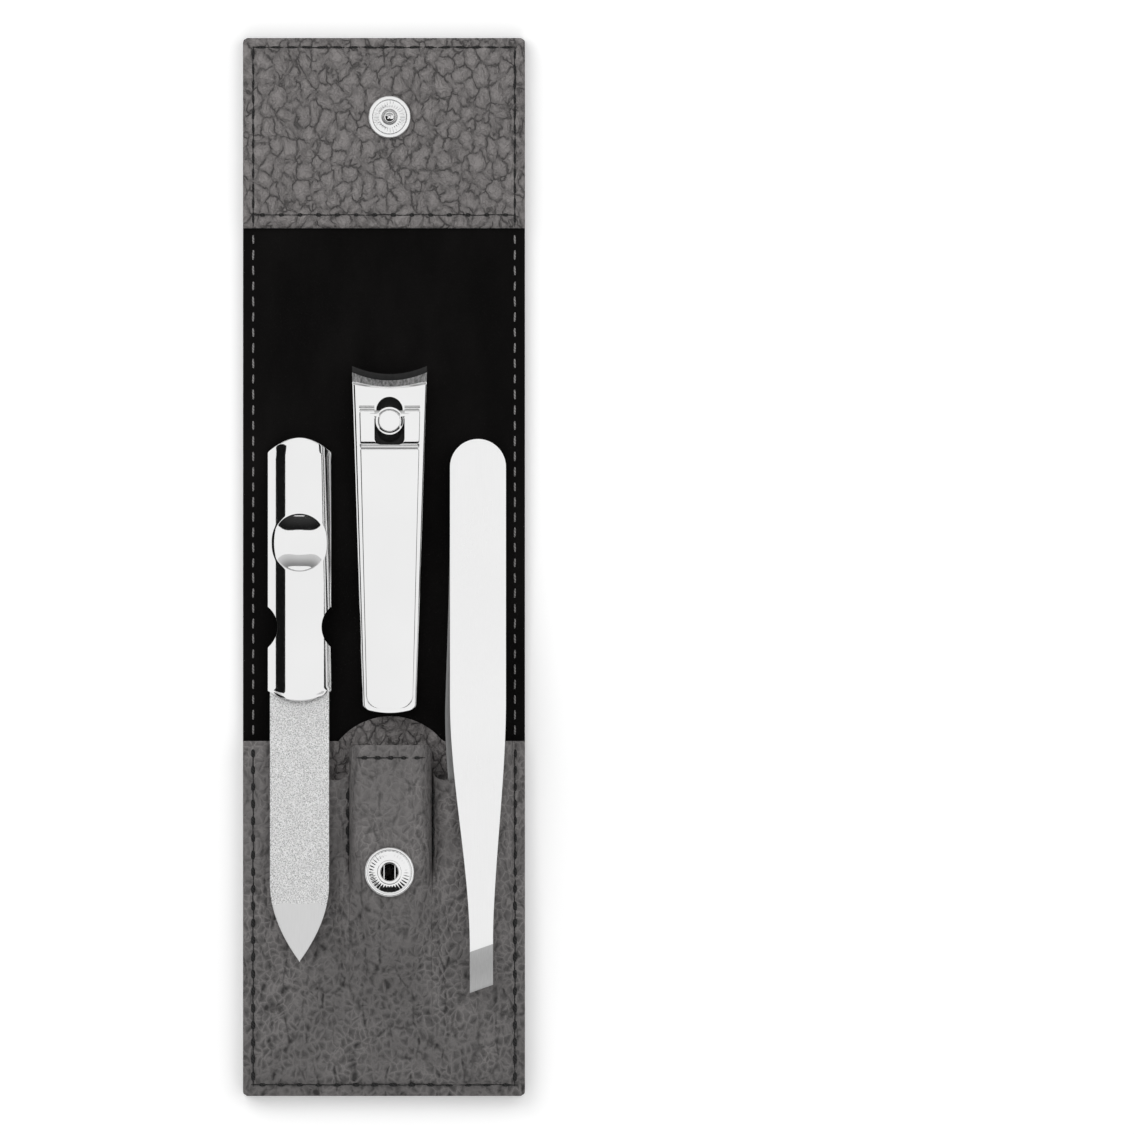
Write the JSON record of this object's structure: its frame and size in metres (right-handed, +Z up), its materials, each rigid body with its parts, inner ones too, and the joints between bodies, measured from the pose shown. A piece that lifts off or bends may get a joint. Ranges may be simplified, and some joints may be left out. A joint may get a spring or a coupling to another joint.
{
  "type": "manicure set case",
  "caption": "Fold-over leather manicure case, open, with a snap, a file, a nail clipper and tweezers in a three-part pocket.",
  "frame": {"origin": "bottom centre of the bounding box of the open case", "axes": "+Y along the case towards the flap, +X to the right seen from above, +Z up"},
  "size_m": [0.0486, 0.1824, 0.0108],
  "materials": {
    "leather_grey": "pebbled",
    "suede_black": "suede",
    "polished_chrome": "polished",
    "satin_steel": "satin",
    "file_grit": "grit",
    "badge_black": "gloss"
  },
  "bodies": {
    "case": {"back_leather": "leather_grey", "back_lining": "suede_black", "pocket_divider": "leather_grey", "pocket_front": "leather_grey", "snap_socket": "polished_chrome", "snap_socket_base": "satin_steel"},
    "spine_lower": {"spine_lower_leather": "leather_grey", "spine_lower_lining": "suede_black"},
    "spine_upper": {"spine_upper_leather": "leather_grey", "spine_upper_lining": "suede_black"},
    "flap": {"flap_root_leather": "leather_grey", "flap_root_lining": "suede_black", "flap_leather": "leather_grey", "flap_lining": "suede_black", "flap_facing": "leather_grey", "snap_stud": "polished_chrome", "snap_stud_post": "satin_steel", "badge_frame": "polished_chrome", "badge_plate": "badge_black"},
    "snap_spring_left": {"snap_spring_left": "polished_chrome"},
    "snap_spring_right": {"snap_spring_right": "polished_chrome"},
    "file": {"file_handle": "polished_chrome", "file_blade": "file_grit"},
    "clipper_base": {"clipper_lower_jaw": "satin_steel", "clipper_tail_rivet": "satin_steel"},
    "clipper_upper_jaw": {"clipper_upper_jaw": "satin_steel"},
    "clipper_pin": {"clipper_pin": "polished_chrome"},
    "clipper_lever": {"clipper_lever": "polished_chrome"},
    "tweezers_rear": {"tweezers_rear_arm": "satin_steel"},
    "tweezers_front": {"tweezers_front_arm": "satin_steel"}
  },
  "joints": [
    {"name": "spine_lower_fold", "type": "hinge", "parent": "case", "child": "spine_lower", "pos_m": [0, 0.00554, 0.0012], "axis": [-1, 0, 0], "range_deg": [-60, 0], "deforming": ["spine_lower_leather", "spine_lower_lining"]},
    {"name": "spine_upper_fold", "type": "hinge", "parent": "spine_lower", "child": "spine_upper", "pos_m": [0, 0.0125, 0.0012], "axis": [-1, 0, 0], "range_deg": [-60, 0], "deforming": ["spine_upper_leather", "spine_upper_lining"]},
    {"name": "flap_fold", "type": "hinge", "parent": "spine_upper", "child": "flap", "pos_m": [0, 0.01946, 0.0012], "axis": [-1, 0, 0], "range_deg": [-60, 0], "deforming": ["flap_root_leather", "flap_root_lining"]},
    {"name": "file_slide", "type": "slide", "parent": "case", "child": "file", "axis": [0, -0.9992, 0.0403], "range_m": [0, 0.016]},
    {"name": "clipper_slide", "type": "slide", "parent": "case", "child": "clipper_base", "axis": [0, 1, 0], "range_m": [-0.0282, 0]},
    {"name": "tweezers_slide", "type": "slide", "parent": "case", "child": "tweezers_rear", "axis": [0, -1, 0], "range_m": [0, 0.015]},
    {"name": "jaw_squeeze", "type": "hinge", "parent": "clipper_base", "child": "clipper_upper_jaw", "pos_m": [0.00095, -0.02094, 0.0048], "axis": [-1, 0, 0], "range_deg": [0, 1.6], "stiffness_Nm_per_rad": 1},
    {"name": "pin_turn", "type": "hinge", "parent": "clipper_base", "child": "clipper_pin", "pos_m": [0.00095, 0.0252, 0.007], "axis": [0, 0, 1], "range_deg": [0, 180]},
    {"name": "lever_swing", "type": "hinge", "parent": "clipper_pin", "child": "clipper_lever", "pos_m": [0.00095, 0.0262, 0.0088], "axis": [-1, 0, 0], "range_deg": [0, 150]},
    {"name": "tweezers_squeeze", "type": "hinge", "parent": "tweezers_rear", "child": "tweezers_front", "pos_m": [0.0162, 0.00207, 0.0042], "axis": [1, 0, 0], "range_deg": [0, 1.6], "stiffness_Nm_per_rad": 0.5},
    {"name": "spring_left_spread", "type": "slide", "parent": "case", "child": "snap_spring_left", "axis": [-1, 0, 0], "range_m": [0, 0.0003], "stiffness_N_per_m": 5},
    {"name": "spring_right_spread", "type": "slide", "parent": "case", "child": "snap_spring_right", "axis": [1, 0, 0], "range_m": [0, 0.0003], "stiffness_N_per_m": 5}
  ],
  "couplings": [
    {"joint": "spine_lower_fold", "follows": "clipper_slide", "rad_per_m": 37.134},
    {"joint": "spine_upper_fold", "follows": "clipper_slide", "rad_per_m": 37.134},
    {"joint": "flap_fold", "follows": "clipper_slide", "rad_per_m": 37.134},
    {"joint": "file_slide", "follows": "clipper_slide", "ratio": -0.5638},
    {"joint": "tweezers_slide", "follows": "clipper_slide", "ratio": -0.5283},
    {"joint": "pin_turn", "follows": "lever_swing", "ratio": 1.199},
    {"joint": "spring_right_spread", "follows": "spring_left_spread", "ratio": 1}
  ]
}
